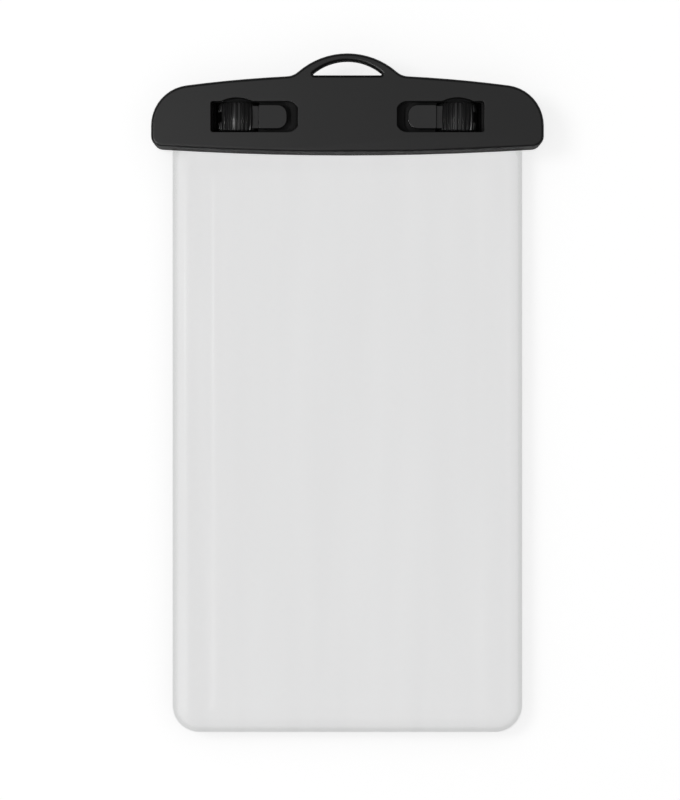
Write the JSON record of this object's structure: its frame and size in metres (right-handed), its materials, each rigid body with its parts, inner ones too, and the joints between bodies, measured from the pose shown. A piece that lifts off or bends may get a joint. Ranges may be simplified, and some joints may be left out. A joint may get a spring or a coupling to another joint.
{
  "type": "waterproof phone pouch",
  "caption": "Clear welded film pouch for a phone, shut by a moulded two-part clip bar with flip levers and an arched lanyard loop.",
  "frame": {"origin": "under the middle of the pouch's outline, on the surface that it lies on", "axes": "+X along the clip to the right as seen from the front, +Y from the film to the lanyard loop, +Z out of the front"},
  "size_m": [0.116, 0.2012, 0.0146],
  "materials": {
    "clip_plastic": "dark satin moulded plastic with a fine texture",
    "lever_plastic": "black glossy moulded plastic",
    "clear_film": "clear soft film with a slight haze, smooth and flexible",
    "seal_silicone": "soft translucent silicone",
    "mouth_plastic": "stiff milky plastic strip",
    "pin_steel": "bright drawn steel"
  },
  "bodies": {
    "pouch": {"front_bar": "clip_plastic", "rear_bar": "clip_plastic", "front_seal": "seal_silicone", "rear_seal": "seal_silicone", "front_mouth_strip": "mouth_plastic", "rear_mouth_strip": "mouth_plastic", "front_film": "clear_film", "rear_film": "clear_film", "left_pin": "pin_steel", "right_pin": "pin_steel"},
    "lever_on_the_left": {"left_lever": "lever_plastic"},
    "lever_on_the_right": {"right_lever": "lever_plastic"}
  },
  "joints": [
    {"name": "left_lever_flip", "type": "hinge", "parent": "pouch", "child": "lever_on_the_left", "pos_m": [-0.0326, 0.08182, 0.0087], "axis": [0, -1, 0], "range_deg": [0, 95]},
    {"name": "right_lever_flip", "type": "hinge", "parent": "pouch", "child": "lever_on_the_right", "pos_m": [0.0326, 0.08182, 0.0087], "axis": [0, 1, 0], "range_deg": [0, 95]}
  ]
}
